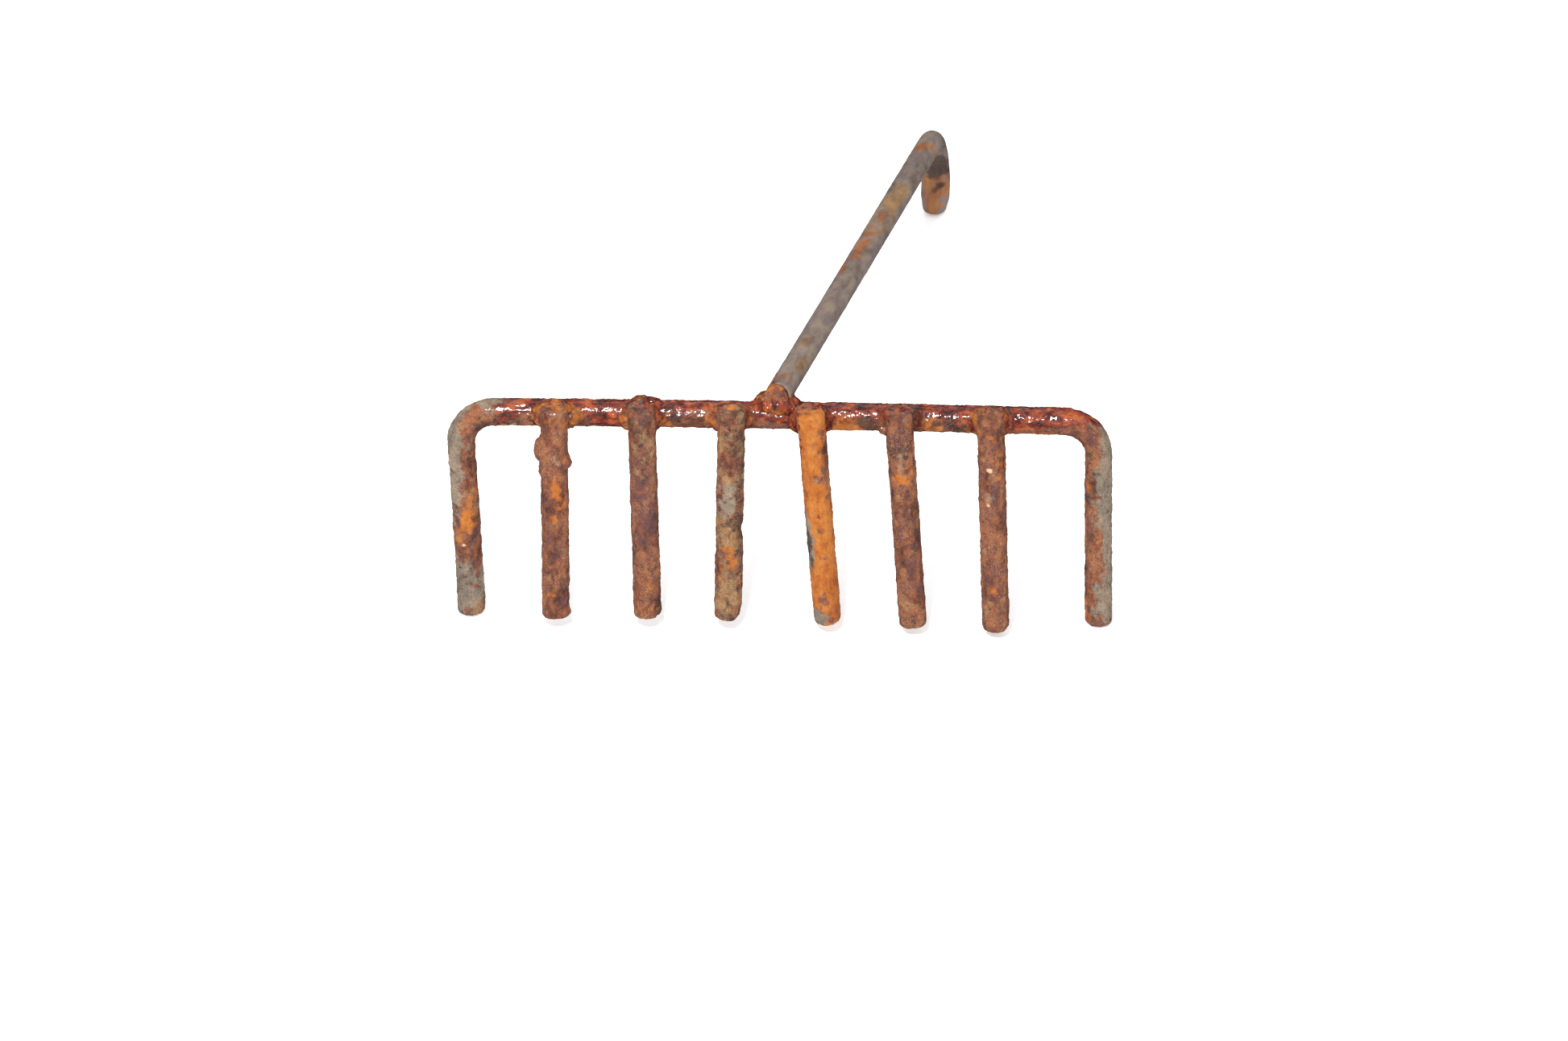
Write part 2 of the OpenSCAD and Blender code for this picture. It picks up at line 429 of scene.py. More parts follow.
class Shader:
    """Short calls that add and wire the nodes of one material."""

    def __init__(self, name):
        self.material = bpy.data.materials.new(name)
        self.material.use_nodes = True
        self.tree = self.material.node_tree
        self.tree.nodes.clear()

    def node(self, kind, props=None, inputs=None):
        """A node with its properties set and its inputs given values or links."""
        made = self.tree.nodes.new(kind)
        for key, value in (props or {}).items():
            setattr(made, key, value)
        for key, value in (inputs or {}).items():
            if isinstance(value, bpy.types.NodeSocket):
                self.tree.links.new(value, made.inputs[key])
            else:
                made.inputs[key].default_value = value
        return made

    def noise(self, size, detail, rough, warp=0.0):
        """Noise whose features are about size millimetres across."""
        inputs = {"Vector": self.place, "Scale": 1 / size, "Detail": detail}
        inputs.update({"Roughness": rough, "Distortion": warp})
        return self.node("ShaderNodeTexNoise", {}, inputs).outputs["Fac"]

    def mask(self, name):
        """A mask stored on the mesh."""
        props = {"attribute_name": name, "attribute_type": "GEOMETRY"}
        return self.node("ShaderNodeAttribute", props).outputs["Fac"]

    def span(self, value, low, high, to_low, to_high):
        """Carries a value from one range smoothly to another, and stops at its ends."""
        props = {"interpolation_type": "SMOOTHSTEP"}
        inputs = {"Value": value, "From Min": low, "From Max": high}
        inputs.update({"To Min": to_low, "To Max": to_high})
        return self.node("ShaderNodeMapRange", props, inputs).outputs["Result"]

    def maths(self, what, a, b):
        return self.node("ShaderNodeMath", {"operation": what}, {0: a, 1: b}).outputs[0]

    def mix(self, share, a, b):
        """Two colours mixed: inputs 6 and 7 are the node's colour pair."""
        inputs = {"Factor": share, 6: a, 7: b}
        return self.node("ShaderNodeMix", {"data_type": "RGBA"}, inputs).outputs[2]

    def blend(self, share, a, b):
        """Two numbers mixed: inputs 2 and 3 are the node's number pair."""
        inputs = {"Factor": share, 2: a, 3: b}
        return self.node("ShaderNodeMix", {"data_type": "FLOAT"}, inputs).outputs[0]

    def shades(self, value, *stops):
        """A colour ramp through stops, each (place, colour)."""
        ramp_node = self.node("ShaderNodeValToRGB", {}, {"Fac": value})
        elements = ramp_node.color_ramp.elements
        while len(elements) < len(stops):
            elements.new(0.5)
        for element, (place, colour) in zip(elements, stops):
            element.position = place
            element.color = colour
        return ramp_node.outputs["Color"]


def rusted(name, dark, middle, light, plum, oranges, speckle, matt, patch, streak, depth):
    """Rusted iron. The pieces' masks bring in bare scale, ochre, dark brown rust that also paints
    shade, tan, plum, wet gloss and painted highlights.
    speckle is the strength of the grit, matt the roughness, patch and streak the size and the
    length of the colour patches, and depth the fineness of their edges."""
    s = Shader(name)
    attribute = {"attribute_name": "grain", "attribute_type": "GEOMETRY"}
    grain = s.node("ShaderNodeAttribute", attribute).outputs["Vector"]
    stretch = {0: grain, 1: (1 / patch, 1 / patch, 1 / patch / streak)}
    s.place = s.node("ShaderNodeVectorMath", {"operation": "MULTIPLY"}, stretch).outputs[0]
    # Noise of falling size, the three coarse ones stretched along the bar
    broad = s.noise(11, 3.0, 0.5, 0.3)
    patchy = s.noise(3.4, depth, 0.68, 0.2)
    other = s.noise(4.6, depth - 1.0, 0.65, 0.4)
    s.place = grain
    beady = s.noise(1.8, 1.0, 0.4)
    fine = s.noise(1.1, 4.0, 0.6)
    tiny = s.noise(0.6, 2.0, 0.5)
    grit = s.noise(0.52, 1.0, 0.4)

    # Colours, each laid over the ones before it
    both = s.maths("ADD", s.maths("MULTIPLY", broad, 0.35), s.maths("MULTIPLY", patchy, 0.65))
    rust = s.shades(both, (0.38, dark), (0.47, middle), (0.56, light))
    plum_area = s.maths("MULTIPLY", s.mask("plum"), s.span(patchy, 0.38, 0.56, 0.85, 0.2))
    plums = s.maths("MAXIMUM", s.span(other, 0.48, 0.62, 0.0, 0.6), plum_area)
    rust = s.mix(plums, rust, plum)
    ochre = s.shades(both, *zip((0.34, 0.48, 0.62), oranges))
    steel = s.shades(
        both,
        (0.34, tint(94, 84, 76)),
        (0.47, tint(120, 109, 95)),
        (0.60, tint(142, 128, 110)),
    )
    mottle = s.blend(speckle, both, fine)
    umber_and_shade = s.shades(mottle, (0.35, tint(40, 26, 28)), (0.65, tint(88, 66, 60)))
    tan_ = s.shades(both, (0.36, tint(106, 78, 50)), (0.6, tint(156, 122, 84)))
    wet = s.shades(
        patchy,
        (0.38, tint(44, 14, 16)),
        (0.46, tint(96, 24, 20)),
        (0.54, tint(134, 48, 26)),
        (0.62, tint(176, 86, 36)),
    )
    colour = s.mix(s.mask("tan"), rust, tan_)
    colour = s.mix(s.mask("ochre"), colour, ochre)
    colour = s.mix(s.mask("steel"), colour, steel)
    # Dark brown: rust on most pieces, and painted shade on the bent leg under the handle's end
    colour = s.mix(s.maths("MULTIPLY", s.mask("umber_and_shade"), 0.85), colour, umber_and_shade)
    colour = s.mix(s.maths("MULTIPLY", s.mask("wet"), 0.9), colour, wet)
    # Pale spots painted in as highlights where light glints on the tines' fronts
    colour = s.mix(s.mask("painted_glint"), colour, tint(214, 172, 140))

    # Dark and pale grit, with less of it where the surface is ochre or wet
    even = s.maths("MAXIMUM", s.mask("ochre"), s.mask("wet"))
    uneven = s.maths("SUBTRACT", 1.0, s.maths("MULTIPLY", even, 0.75))
    gritty = s.maths("MULTIPLY", s.span(other, 0.40, 0.62, 0.3 * speckle, speckle), uneven)
    dark_grit = s.maths("MULTIPLY", s.span(tiny, 0.52, 0.64, 0.0, 0.75), gritty)
    colour = s.mix(dark_grit, colour, tint(62, 36, 34))
    pale_area = s.maths("MULTIPLY", s.span(broad, 0.40, 0.60, 0.2 * speckle, speckle), uneven)
    pale_grit = s.maths("MULTIPLY", s.span(grit, 0.55, 0.68, 0.0, 0.5), pale_area)
    colour = s.mix(pale_grit, colour, tint(196, 138, 84))

    # Roughness, fine relief, and the droplets on the glossy coat
    gloss = s.span(fine, 0.35, 0.65, 0.25, 0.5)
    dull = s.span(fine, 0.3, 0.7, matt - 0.12, matt + 0.12)
    roughness = s.blend(s.mask("gloss"), dull, gloss)
    height = s.maths("ADD", s.maths("MULTIPLY", tiny, 0.6), fine)
    inputs = {"Height": height, "Strength": 0.8 * speckle, "Distance": 0.0006}
    bump = s.node("ShaderNodeBump", {}, inputs).outputs["Normal"]
    inputs = {"Height": s.maths("ADD", beady, s.maths("MULTIPLY", fine, 0.5))}
    inputs.update({"Strength": 0.8, "Distance": 0.0002})
    droplets = s.node("ShaderNodeBump", {}, inputs).outputs["Normal"]
    inputs = {"Base Color": colour, "Roughness": roughness, "Normal": bump, "IOR": 1.4}
    inputs.update({"Coat Weight": s.mask("gloss"), "Coat Roughness": 0.13})
    inputs.update({"Coat Normal": droplets, "Coat IOR": 1.85})
    surface = s.node("ShaderNodeBsdfPrincipled", {}, inputs).outputs["BSDF"]
    s.node("ShaderNodeOutputMaterial", {}, {"Surface": surface})
    return s.material


# ---------------------------------------------------------------- bars
def bent(points, radii):
    """A path through corners, with an arc of the given radius at each one between the ends."""
    points = [np.asarray(p, float) for p in points]
    path = [points[0]]
    for before, corner, after, radius in zip(points, points[1:], points[2:], radii):
        a = (before - corner) / np.linalg.norm(before - corner)
        b = (after - corner) / np.linalg.norm(after - corner)
        half = math.acos(float(a @ b)) / 2
        middle = (a + b) / np.linalg.norm(a + b)
        centre = corner + middle * radius / math.sin(half)
        start = corner + a * radius / math.tan(half)
        u = (start - centre) / radius
        v = -a
        path.extend(arc(centre, radius, u, v, 0, 180 - 2 * math.degrees(half)))
    path.append(points[-1])
    return path


def add_bar(node, material, place, points, radii, radius, front, look, shape):
    """A bar along a bent path in its place's frame. front is the side that its rings start at,
    look holds its relief and stains, and shape moves its finished points a little."""
    step = look.get("step", RING_STEP)
    path, s = polyline(bent(points, radii), step)
    around = int(round(2 * math.pi * radius / step / 4)) * 4
    mesh = bar_mesh(path, s, front, radius, around, *look["bevels"])
    verts, normal, faces, along, girth = mesh
    height = relief(place.out(verts), look.get("rough", 1.0), look.get("grit", 0.6))
    height += bites(verts, look.get("marks", ()))
    local = shape(verts + normal * height[:, None], along, s[-1])
    stretch = look.get("stretch", (1.0, 1.0, 1.0))
    masks = stain_masks(verts, look["stains"], look["base"], look["seed"], stretch)
    grain = np.column_stack([girth, along + look["seed"]])
    add_piece(node, place.out(local), faces, grain, masks, material)


RUST = rusted(
    "rusted_iron",
    tint(72, 38, 30),
    tint(114, 64, 44),
    tint(142, 88, 58),
    tint(100, 66, 68),
    (tint(134, 64, 20), tint(170, 94, 30), tint(186, 118, 52)),
    speckle=1.0,
    matt=0.8,
    patch=1.0,
    streak=1.7,
    depth=6.0,
)
HANDLE_RUST = rusted(
    "brown_patina",
    tint(108, 88, 76),
    tint(122, 108, 100),
    tint(136, 122, 108),
    tint(114, 104, 108),
    (tint(122, 76, 48), tint(148, 92, 56), tint(164, 114, 70)),
    speckle=0.35,
    matt=0.62,
    patch=1.9,
    streak=2.6,
    depth=2.5,
)

HALF = SPAN / 2
FRAME_POINTS = (
    (-HALF + OUTER_REACH * sin(LEFT_LEAN), 0, -OUTER_REACH * cos(LEFT_LEAN)),
    (-HALF, 0, 0),
    (HALF, 0, 0),
    (HALF + OUTER_REACH * sin(RIGHT_LEAN), 0, -OUTER_REACH * cos(RIGHT_LEAN)),
)
CROSSBAR_BOW = 0.9  # the crossbar's middle stands this much higher than its ends
BOW_SHARE = 0.4  # the share of it that lifts the middle: the rest lowers the ends
LEFT_TINE_SHIFT = 0.4  # the left outer tine stands this much further to the right
SHIFT_FROM, SHIFT_FULL = 8, 40  # the depths below the crossbar between which it comes in
CORNER_R = (16.0, 16.5)  # radii of the frame bar's left and right bends, wider than the CAD's


def bow(x):
    """How far the bowed crossbar stands above or below its straight axis."""
    return CROSSBAR_BOW * (BOW_SHARE - np.clip(x / HALF, -1, 1) ** 2)


def bowed(local, along, length):
    """Bows the crossbar upwards a little between its bends, and moves the left tine."""
    lifted = local.copy()
    lifted[:, 2] += bow(local[:, 0])
    depth = ramp(-local[:, 2], SHIFT_FROM, SHIFT_FULL)
    lifted[:, 0] += LEFT_TINE_SHIFT * depth * (local[:, 0] < 0)
    return lifted


FRAME_LOOK = {
    "step": LONG_STEP,
    "seed": 100,
    "bevels": (1.6, 1.6),
    "base": {"steel": -0.35, "ochre": -0.15, "umber_and_shade": 0.0, "wet": -0.3, "tan": -0.2},
    "stains": (
        ("gloss", -60, -4, 4, 88, 7, 7, 1.1),
        ("gloss", 70, -4, 4, 96, 7, 7, 1.4),
        ("wet", -75, -2, 6, 52, 7, 5, 1.6),
        ("wet", 0, -3, 4, 22, 9, 8, 1.8),
        ("wet", 70, -2, 6, 60, 7, 5, 1.6),
        ("wet", 122, -4, 4, 26, 8, 7, 1.5),
        ("wet", -80, -6, -1, 7, 5, 6, 1.6),
        ("umber_and_shade", -82, -5, 2, 5, 6, 6, 1.2),
        ("umber_and_shade", 44, -6, 2, 5, 6, 5, 2.0),
        ("umber_and_shade", 81, -6, 2, 5, 6, 6, 2.0),
        ("ochre", -54, -6, 1, 5, 5, 7, 1.6),
        ("ochre", 33, -7, -2, 10, 5, 5, 2.2),
        ("ochre", 49, -7, -1, 3, 5, 7, 1.8),
        ("ochre", 72, -7, 0, 4, 5, 8, 1.8),
        ("ochre", 91, -7, 0, 4, 5, 8, 1.8),
        ("plum", -10, -2, -7, 150, 7, 4, 1.2),
        ("plum", -2, -6, -3, 13, 5, 5, 0.8),
        ("wet", -2, -6, -3, 13, 5, 4, -0.4),
        ("steel", -154, -3, -22, 9, 12, 34, 1.9),
        ("steel", -136, -1, 7, 16, 7, 5, 1.2),
        ("wet", -124, -6, 2, 14, 6, 6, 1.0),
        ("wet", -139, -1, 6, 13, 8, 6, -1.2),
        ("umber_and_shade", -126, -6, 0, 10, 5, 5, 0.6),
        ("steel", -147, -4, -90, 9, 12, 16, 1.8),
        ("ochre", -143, -4, -32, 3, 6, 18, 0.5),
        ("ochre", -147, -6, -55, 3, 5, 5, 1.0),
        ("tan", -141, -3, -100, 3, 6, 6, 1.4),
        # a painted highlight on the front of the left outer tine
        ("painted_glint", -147, -6, -67, 2.4, 3, 1.6, 2.8),
        ("steel", 156, -4, -34, 7, 10, 56, 1.9),
        ("steel", 152, -5, -92, 7, 8, 14, 1.1),
    ),
}
add_bar(
    "frame_bar",
    RUST,
    HEAD,
    FRAME_POINTS,
    CORNER_R,
    BAR_R,
    (0, -1, 0),
    FRAME_LOOK,
    bowed,
)

TINE_BEVEL = 1.8  # rounding of the tines' sawn ends
TIP_ZONE = 14  # the slope of a tip reaches this far up the tine
TINE_SHIFT = (-0.2, 0.35, 0.1, 0.35, 0.25, -0.1)  # how far each tine is set to the right
# Each inner tine's own stains, dents and lumps, and the slope of its sawn tip.
TINE_LOOKS = (
    {
        "base": {"tan": -0.1, "ochre": -0.15, "plum": 0.0},
        "stains": (
            ("ochre", 1, -6, -32, 3, 6, 12, 0.8),
            ("ochre", 0, -6, 2, 8, 7, 6, 0.8),
            ("gloss", 0, -5, 6, 9, 8, 6, 1.2),
        ),
        "marks": ((6.2, -3, -97, 2.2, 1.6),),
        "slant": 0.05,
    },
    {
        "base": {"tan": -0.2, "umber_and_shade": 0.05, "plum": 0.2},
        "stains": (
            ("tan", 0, -6, -8, 8, 7, 14, 0.7),
            ("plum", 0, -6, -45, 8, 7, 24, 0.6),
            ("plum", 0, -6, -85, 8, 7, 20, -0.5),
            ("ochre", 0, -6, -86, 8, 7, 16, 0.4),
        ),
        "marks": ((5.5, -3, -98, 1.8, -1.0),),
        "slant": 0.0,
    },
    {
        "base": {"tan": 0.32, "umber_and_shade": 0.02, "plum": -0.3},
        "stains": (
            ("steel", 0, -5, -32, 6, 7, 10, 1.3),
            ("umber_and_shade", 5, -5, -30, 3, 6, 34, 0.7),
            ("ochre", 1, -6, -63, 5, 7, 11, 1.2),
            ("steel", -2, -5, -97, 6, 7, 5, 1.0),
        ),
        "marks": ((6.8, -1, -53, 3.6, -1.6), (7, -3, -99, 5, -1.8)),
        "slant": -0.08,
    },
    {
        "base": {"ochre": 0.95, "umber_and_shade": -0.3, "plum": -0.3},
        "stains": (
            ("steel", -6, -4, -58, 3, 6, 13, 2.0),
            ("umber_and_shade", -6, -4, -58, 2, 6, 13, 1.2),
            ("steel", -4, -4, -97, 5, 6, 5, 1.8),
            ("ochre", 6, -4, -12, 4, 6, 18, -1.0),
        ),
        "slant": 0.04,
    },
    {
        "base": {"tan": -0.1, "umber_and_shade": 0.02, "plum": -0.1},
        "stains": (("umber_and_shade", 0, -6, -8, 8, 7, 5, 0.7), ("ochre", 0, -6, -21, 7, 7, 5, 1.1)),
        "slant": 0.0,
    },
    {
        "base": {"tan": -0.05, "ochre": -0.1, "plum": 0.0},
        # two painted highlights on the front of this tine
        "stains": (("painted_glint", -1, -6, -17, 2.2, 3, 2, 3.0), ("painted_glint", -2, -6, -35, 2, 3, 2.2, 3.0)),
        "slant": 0.03,
    },
)


def slanted(slope, reach, sideways):
    """Saws a tine's tip at a slope across its width, and sets the tine a hair to one side."""

    def shape(local, along, length):
        cut = local.copy()
        cut[:, 0] += sideways
        cut[:, 2] += slope * local[:, 0] * ramp(-local[:, 2], reach - TIP_ZONE, reach)
        return cut

    return shape


for i, look in enumerate(TINE_LOOKS):
    full = dict(look, seed=200 + 40 * i, bevels=(TINE_BEVEL, TINE_BEVEL))
    add_bar(
        f"inner_tine_{i + 1}",
        RUST,
        TINES[i],
        ((0, 0, TINE_HEAD[i]), (0, 0, -TINE_REACH[i])),
        (),
        BAR_R,
        (0, -1, 0),
        full,
        slanted(look["slant"], TINE_REACH[i], TINE_SHIFT[i]),
    )

HANDLE_LOOK = {
    "step": LONG_STEP,
    "seed": 500,
    "rough": 0.3,
    "grit": 0.05,
    "bevels": (4.5, 2.2),
    "stretch": (1.6, 3.2, 1.6),
    "base": {"steel": -0.15, "ochre": -0.45, "umber_and_shade": -0.6, "wet": -0.6, "tan": -0.15},
    "stains": (
        ("ochre", -2, 6, 6, 7, 7, 5, 0.6),
        ("wet", 0, -2, 3, 8, 8, 8, 1.4),
        ("gloss", 0, -2, 3, 8, 9, 8, 1.2),
        ("wet", 1, 30, 5, 3, 4, 3, 0.7),
        ("ochre", -3, 145, 5, 5, 12, 5, 1.2),
        ("ochre", -1, 180, 6, 6, 24, 5, 1.5),
        ("ochre", 1, 222, 6, 5, 12, 5, 1.3),
        ("tan", 2, 254, 6, 5, 26, 5, 1.3),
        ("ochre", 0, 331, 6, 5, 13, 5, 1.4),
        ("steel", 0, 115, 4, 9, 22, 6, 0.3),
        ("steel", 0, 300, 4, 8, 40, 6, 0.3),
        ("ochre", 0, 362, -30, 10, 12, 20, 1.25),
        ("ochre", -1, 360, -42, 5, 10, 6, 1.0),
        # These five stains are painted shade: they darken the bent leg just under the handle's end
        # and along its left side, where the handle shades it; the two negative ones shape that
        # shade's lower edge
        ("umber_and_shade", 0, 362, -24, 9, 12, 18, 1.15),
        ("umber_and_shade", -3, 358, -16, 6, 9, 8, 0.9),
        ("umber_and_shade", -6, 358, -33, 3, 9, 4, 0.7),
        ("umber_and_shade", 0, 360, -39, 4, 9, 5, -0.8),
        ("umber_and_shade", -4, 358, -26, 3, 9, 4, -0.8),
    ),
}
HANDLE_SHORT = 3.6  # the bend sits this much nearer to the crossbar
HANDLE_ASIDE = (0.5, 0.6)  # how far right the whole handle lies, and how much more its far end
HANDLE_TRIM = 0.9  # its front face lies this much deeper in the weld metal
LEG_SHIFT = 0.6  # the bent leg's lower half stands this far to the right
LEG_SWELL = 1.22  # and is this much wider across
LEG_FROM, LEG_FULL = 44, 16  # distances from the end between which both come in
LEG_END = 10  # and over which the end is rounded off


def worked_handle(local, along, length):
    """Shortens the handle a little, sets it aside and its front face deeper, and shifts and
    widens its leg's lower half."""
    worked = local.copy()
    low = ramp(along, length - LEG_FROM, length - LEG_FULL)
    end = ramp(along, length - LEG_END, length)
    worked[:, 0] *= 1 + (LEG_SWELL - 1) * low * (1 - end)
    far = np.clip(local[:, 1] / HANDLE_LEN, 0, 1)
    worked[:, 0] += HANDLE_ASIDE[0] + HANDLE_ASIDE[1] * far + LEG_SHIFT * low * (1 - 0.5 * end)
    worked[:, 1] += HANDLE_TRIM * (1 - ramp(along, 0, HANDLE_R)) - HANDLE_SHORT * far
    return worked


add_bar(
    "handle_bar",
    HANDLE_RUST,
    HANDLE,
    (
        (0, -HANDLE_FRONT, 0),
        (0, HANDLE_LEN, 0),
        (0, HANDLE_LEN + FOOT_LEN * cos(FOOT_BEND), -FOOT_LEN * sin(FOOT_BEND)),
    ),
    (FOOT_BEND_R,),
    HANDLE_R,
    (1, 0, 0),
    HANDLE_LOOK,
    worked_handle,
)


# ---------------------------------------------------------------- weld metal
SKIN = 0.3  # weld metal this thin runs out into the bar's own surface
BURIED = 1.0  # how deep inside the bars the weld metal is closed off
LAP = 0.35  # how far each of two neighbouring beads runs past their seam
UNDERLAP = 0.04  # and how much lower the second one lies there
LUMP_RUN = 3.0  # how far a lump and the metal beside it run into each other
WELD_ROUGH, WELD_GRIT = 1.2, 0.6  # strength of the rust relief on weld metal
NEAR = 2.0  # relief is worked out only this close to the surface
FULL_RELIEF = 0.6  # weld metal this thick has its full relief
LUMP_HEIGHT = 0.40  # the swelling of weld metal
LUMP_SIZE = 4.5
LUMP_SEED = 61
BOX_EDGE = 0.9  # weld metal stays this share of a grid step inside its grid


def weld_grid(place, low, high):
    """Grid points of a box in a frame: their local and row positions."""
    axes = [np.arange(a, b, NET_STEP) for a, b in zip(low, high)]
    local = np.stack(np.meshgrid(*axes, indexing="ij"), -1)
    return local, place.out(local)


def crossbar_field(p):
    """Distance from the bowed crossbar."""
    head = HEAD.into(p)
    head[..., 2] -= bow(head[..., 0])
    return np.hypot(head[..., 1], head[..., 2]) - BAR_R


def tine_field(p, i):
    """Distance from an inner tine."""
    return rod_field(TINES[i].into(p), TINE_HEAD[i], -TINE_REACH[i])


def handle_field(p):
    """Distance from the handle's straight bar."""
    local = HANDLE.into(p)
    side = np.hypot(local[..., 0], local[..., 2]) - HANDLE_R
    return np.maximum(side, -HANDLE_FRONT - local[..., 1])


def add_weld(node, place, low, high, rods, lumps, keep, reach, look):
    """Weld metal round the crossing of some rods. rods are fields of row positions, lumps are
    (centre, radii) in the place's frame, and keep(local) is negative where this bead lies."""
    local, world = weld_grid(place, low, high)
    solids = [rod(world) for rod in rods]
    body = bare = solids[0]
    for other in solids[1:]:
        body = melt(body, other, reach)
        bare = np.minimum(bare, other)
    for centre, radii in lumps:
        body = melt(body, lump_field(local, centre, radii), LUMP_RUN)
    field = body + SKIN + look.get("under", 0.0)
    near = np.abs(field) < NEAR
    bumps = relief(world[near], WELD_ROUGH, WELD_GRIT)
    bumps += LUMP_HEIGHT * look.get("lumpy", 1.0) * fractal(world[near], LUMP_SIZE, LUMP_SEED)
    field[near] -= bumps * np.clip((bare - body)[near] / FULL_RELIEF, 0, 1)
    field = np.maximum(field, -(bare + BURIED))
    field = np.maximum(field, keep(local) - LAP)
    for axis in range(3):
        edge = np.minimum(local[..., axis] - low[axis], high[axis] - local[..., axis])
        field = np.maximum(field, BOX_EDGE * NET_STEP - edge)
    points, faces = surface_net(field, np.array(low, float), NET_STEP)
    masks = stain_masks(points, look.get("stains", ()), look["base"], look["seed"])
    add_piece(node, place.out(points), faces, points + look["seed"], masks, RUST)


WELD_BASE = {"wet": 0.45, "gloss": 0.9, "ochre": 0.1, "umber_and_shade": 0.0, "steel": -0.4, "tan": -0.3}
BEAD_SIDE = 6.4  # a side bead's middle lies this far from the tine's axis
BEAD_BACK = 6.2  # and this far behind it
TINE_RUN = 7.5  # how far a tine and the crossbar run into each other
HANDLE_RUN = 6.0  # how far the handle and the crossbar do
THIN_RUN = 2.0  # how far the two single welds run out
SEAM_NOISE = 3.0  # size of the noise that makes the beads' seams uneven
# How orange each tine's weld is, and how far its metal has spread along the crossbar.
BEAD_OCHRE = (0.6, 0.3, 0.25, -0.1, 0.15, 0.35)
BEAD_SPREAD = ((3.6, 5.6), (3.2, 3.6), (4.2, 3.0), (3.6, 3.4), (3.4, 4.6), (3.2, 3.6))

for i in range(len(TINE_X)):
    crossing = [crossbar_field, lambda p, i=i: tine_field(p, i)]
    left, right = BEAD_SPREAD[i]
    # Two lumps beside the tine, and two behind its head on top of the crossbar
    lumps = [
        ((-BEAD_SIDE, BEAD_BACK, 1.5), (left, 3.4, 5.4)),
        ((BEAD_SIDE, BEAD_BACK, 1.5), (right, 3.4, 5.4)),
        ((-2.5, 4.4, 7.0), (4.0, 3.0, 2.6)),
        ((2.5, 4.4, 7.0), (4.0, 3.0, 2.6)),
    ]
    for side, word in ((-1, "left"), (1, "right")):
        base = dict(WELD_BASE, ochre=BEAD_OCHRE[i], wet=0.6 - BEAD_OCHRE[i])
        look = {"base": base, "seed": 700 + 20 * i, "under": UNDERLAP * (side > 0)}

        def keep(p, side=side):
            return -side * (p[..., 0] + 0.5 * noise(p, SEAM_NOISE, 88))

        low = (-16 if side < 0 else -2, -4, -14)
        high = (2 if side < 0 else 16, 16, 13)
        node = f"tine_weld_{i + 1}_{word}"
        add_weld(node, TINES[i], low, high, crossing, lumps, keep, TINE_RUN, look)


def everywhere(p):
    """Keeps all of a weld."""
    return np.full(p.shape[:-1], -9.0)


add_weld(
    "tine_2_top_weld",
    TINES[1],
    (-9, 2, 2),
    (14, 26, 18),
    [crossbar_field, lambda p: tine_field(p, 1)],
    [((2.5, 12.0, 5.6), (6.5, 5.0, 3.4))],
    lambda p: 8.5 - p[..., 1] + 0.6 * noise(p, SEAM_NOISE, 89),
    THIN_RUN,
    {"base": WELD_BASE, "seed": 860},
)
add_weld(
    "tine_1_repair_weld",
    TINES[0],
    (-13, -12, -34),
    (13, 12, 4),
    [lambda p: tine_field(p, 0)],
    [
        ((-4.8, -1.0, -12.5), (5.2, 6.0, 7.0)),
        ((2.8, -1.5, -18.5), (4.8, 5.8, 3.4)),
        ((-3.0, -1.0, -23.0), (4.0, 4.8, 2.6)),
    ],
    everywhere,
    THIN_RUN,
    {"base": {"plum": 0.2, "ochre": -0.35}, "seed": 880, "lumpy": 0.8},
)

HANDLE_SEAM = 3.5  # the front bead lies between the two side beads, this far to each side
# Lumps to the left and right of the handle's base and in front of it, each (centre, radii)
HANDLE_LUMPS = (
    ((-7.0, 1.5, -5.4), (4.4, 6.0, 4.4)),
    ((7.0, 1.5, -6.0), (4.0, 6.0, 4.0)),
    ((0.0, -3.0, -4.2), (6.6, 3.2, 3.4)),
)
# Each bead: its node, its grid's two corners, and where across the handle it lies
HANDLE_BEADS = (
    ("handle_weld_left", (-17, -14, -16), (-2, 18, 8), lambda x: x + HANDLE_SEAM),
    ("handle_weld_right", (2, -14, -16), (17, 18, 8), lambda x: HANDLE_SEAM - x),
    ("handle_weld_front", (-6, -14, -16), (6, 18, 8), lambda x: np.abs(x) - HANDLE_SEAM),
)
for k, (node, low, high, part) in enumerate(HANDLE_BEADS):
    add_weld(
        node,
        HANDLE,
        low,
        high,
        [crossbar_field, handle_field],
        HANDLE_LUMPS,
        lambda p, part=part: part(p[..., 0] + 0.4 * noise(p, SEAM_NOISE, 90)),
        HANDLE_RUN,
        {
            "base": dict(WELD_BASE, wet=0.2, plum=0.1),
            "seed": 900,
            "lumpy": 0.6,
            "under": UNDERLAP * (k == 2),
            "stains": (
                ("wet", -10, -3, -8, 6, 8, 5, 1.4),
                ("wet", 10, -3, -8, 6, 8, 5, 1.4),
                ("ochre", 0, -7, -8.5, 7, 4, 2, 1.8),
                ("wet", 0, -7, -8.5, 7, 4, 2, -1.0),
                ("ochre", -1, 0, 4, 7, 12, 4, 0.45),
                ("plum", -1, 0, 4, 7, 12, 4, 0.5),
                ("wet", -1, 0, 4, 7, 12, 4, -0.75),
                ("gloss", -1, 0, 5, 7, 12, 4, -0.8),
                ("gloss", 0, -6, -3, 7, 4, 3.5, 0.8),
                ("gloss", 0, 10, 5, 9, 9, 8, -1.0),
            ),
        },
    )


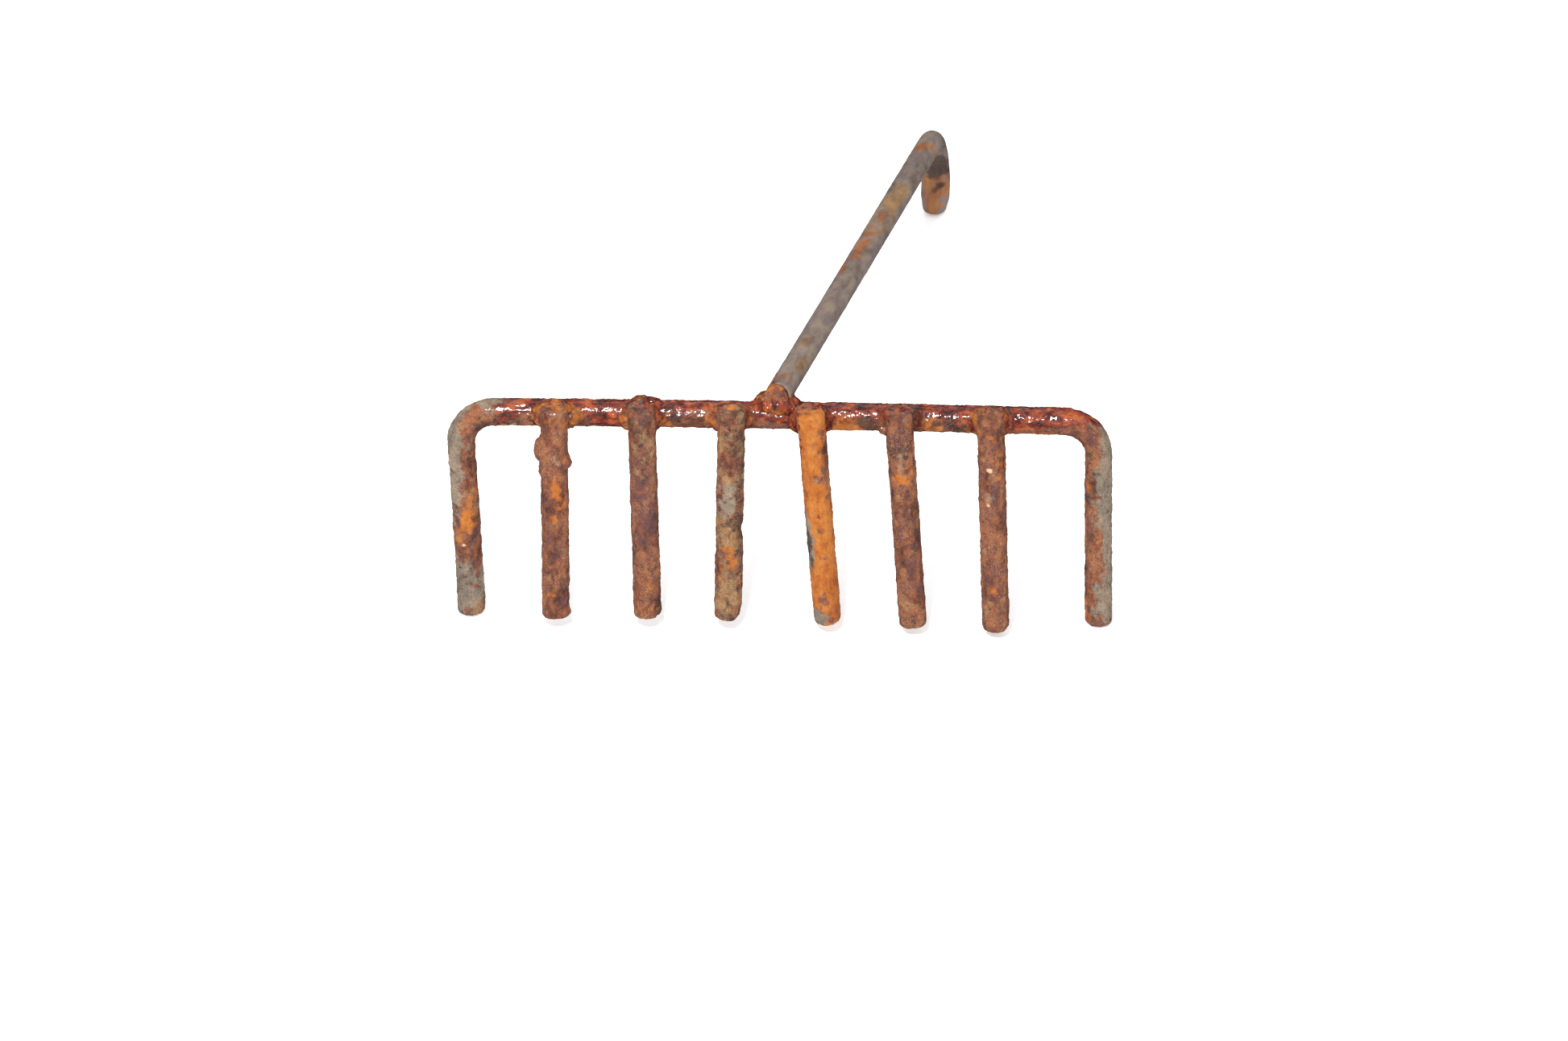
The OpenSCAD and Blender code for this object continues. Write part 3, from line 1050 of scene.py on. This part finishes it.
# ---------------------------------------------------------------- floor, lights and camera
FLOOR_SIZE = 14.0  # metres
FLOOR_GLOW = 0.28  # keeps the shadows faint
WORLD_LIGHT = 0.8
# Each softbox: its name, place and width in metres, and watts.
SOFTBOXES = (
    ("key", (-0.2, -1.2, 1.45), 0.22, 26.0),
    ("left_fill", (-1.8, -0.6, 2.0), 2.0, 6.0),
    ("right_fill", (1.8, -0.6, 2.0), 2.0, 6.0),
    ("back_fill", (0.1, 1.9, 2.2), 2.2, 6.0),
)


def floor():
    """A pale floor that the object's gloss doesn't mirror."""
    s = Shader("pale_floor")
    inputs = {"Base Color": (0.93, 0.935, 0.945, 1.0), "Roughness": 0.9}
    inputs.update({"Emission Color": (1.0, 1.0, 1.0, 1.0), "Emission Strength": FLOOR_GLOW})
    surface = s.node("ShaderNodeBsdfPrincipled", {}, inputs).outputs["BSDF"]
    s.node("ShaderNodeOutputMaterial", {}, {"Surface": surface})
    bpy.ops.mesh.primitive_plane_add(size=FLOOR_SIZE, location=(0, 0, 0))
    plane = bpy.context.object
    plane.name = "floor"
    plane.data.materials.append(s.material)
    plane.visible_glossy = False


def softbox(name, place, width, watts):
    """A round white light that points at the object."""
    data = bpy.data.lights.new(name, "AREA")
    data.shape = "DISK"
    data.size = width
    data.energy = watts
    lamp = bpy.data.objects.new(name, data)
    bpy.context.scene.collection.objects.link(lamp)
    lamp.location = place
    aim = -lamp.location
    lamp.rotation_euler = aim.to_track_quat("-Z", "Y").to_euler()


def world(strength):
    """Even white light that the object's gloss doesn't mirror."""
    made = bpy.data.worlds.new("studio")
    made.use_nodes = True
    background = made.node_tree.nodes["Background"].inputs
    background["Color"].default_value = (1.0, 1.0, 1.0, 1.0)
    background["Strength"].default_value = strength
    made.cycles_visibility.glossy = False
    bpy.context.scene.world = made


CAMERA_YAW = -1.7  # degrees, positive to the right
CAMERA_PITCH = 35.0  # degrees down
CAMERA_DEPTH = 3229.0  # millimetres from the lens to the crossbar's middle, along its view
CAMERA_RIGHT = 2.57  # how far its view passes to the right of the crossbar's middle
CAMERA_UNDER = 48.45  # and how far it passes below it
LENS = 160.17  # focal length in millimetres
SENSOR = 36.0  # sensor width in millimetres
CLIP = (0.05, 50.0)  # metres


def camera():
    """The camera at the photograph's viewing angle."""
    level = cos(CAMERA_PITCH)
    forward = np.array([sin(CAMERA_YAW) * level, cos(CAMERA_YAW) * level, -sin(CAMERA_PITCH)])
    right = np.array([cos(CAMERA_YAW), -sin(CAMERA_YAW), 0.0])
    up = np.cross(right, forward)
    target = np.array([0.0, BAR_Y, BAR_Z])
    eye = target - CAMERA_DEPTH * forward + CAMERA_RIGHT * right - CAMERA_UNDER * up
    data = bpy.data.cameras.new("camera")
    data.lens = LENS
    data.sensor_width = SENSOR
    data.clip_start = CLIP[0]
    data.clip_end = CLIP[1]
    made = bpy.data.objects.new("camera", data)
    bpy.context.scene.collection.objects.link(made)
    axes = Matrix([list(right), list(up), list(-forward)]).transposed().to_4x4()
    axes.translation = Vector((eye * MM).tolist())
    made.matrix_world = axes
    bpy.context.scene.camera = made


floor()
for box in SOFTBOXES:
    softbox(*box)
world(WORLD_LIGHT)
camera()
bpy.context.scene.view_settings.view_transform = "Standard"
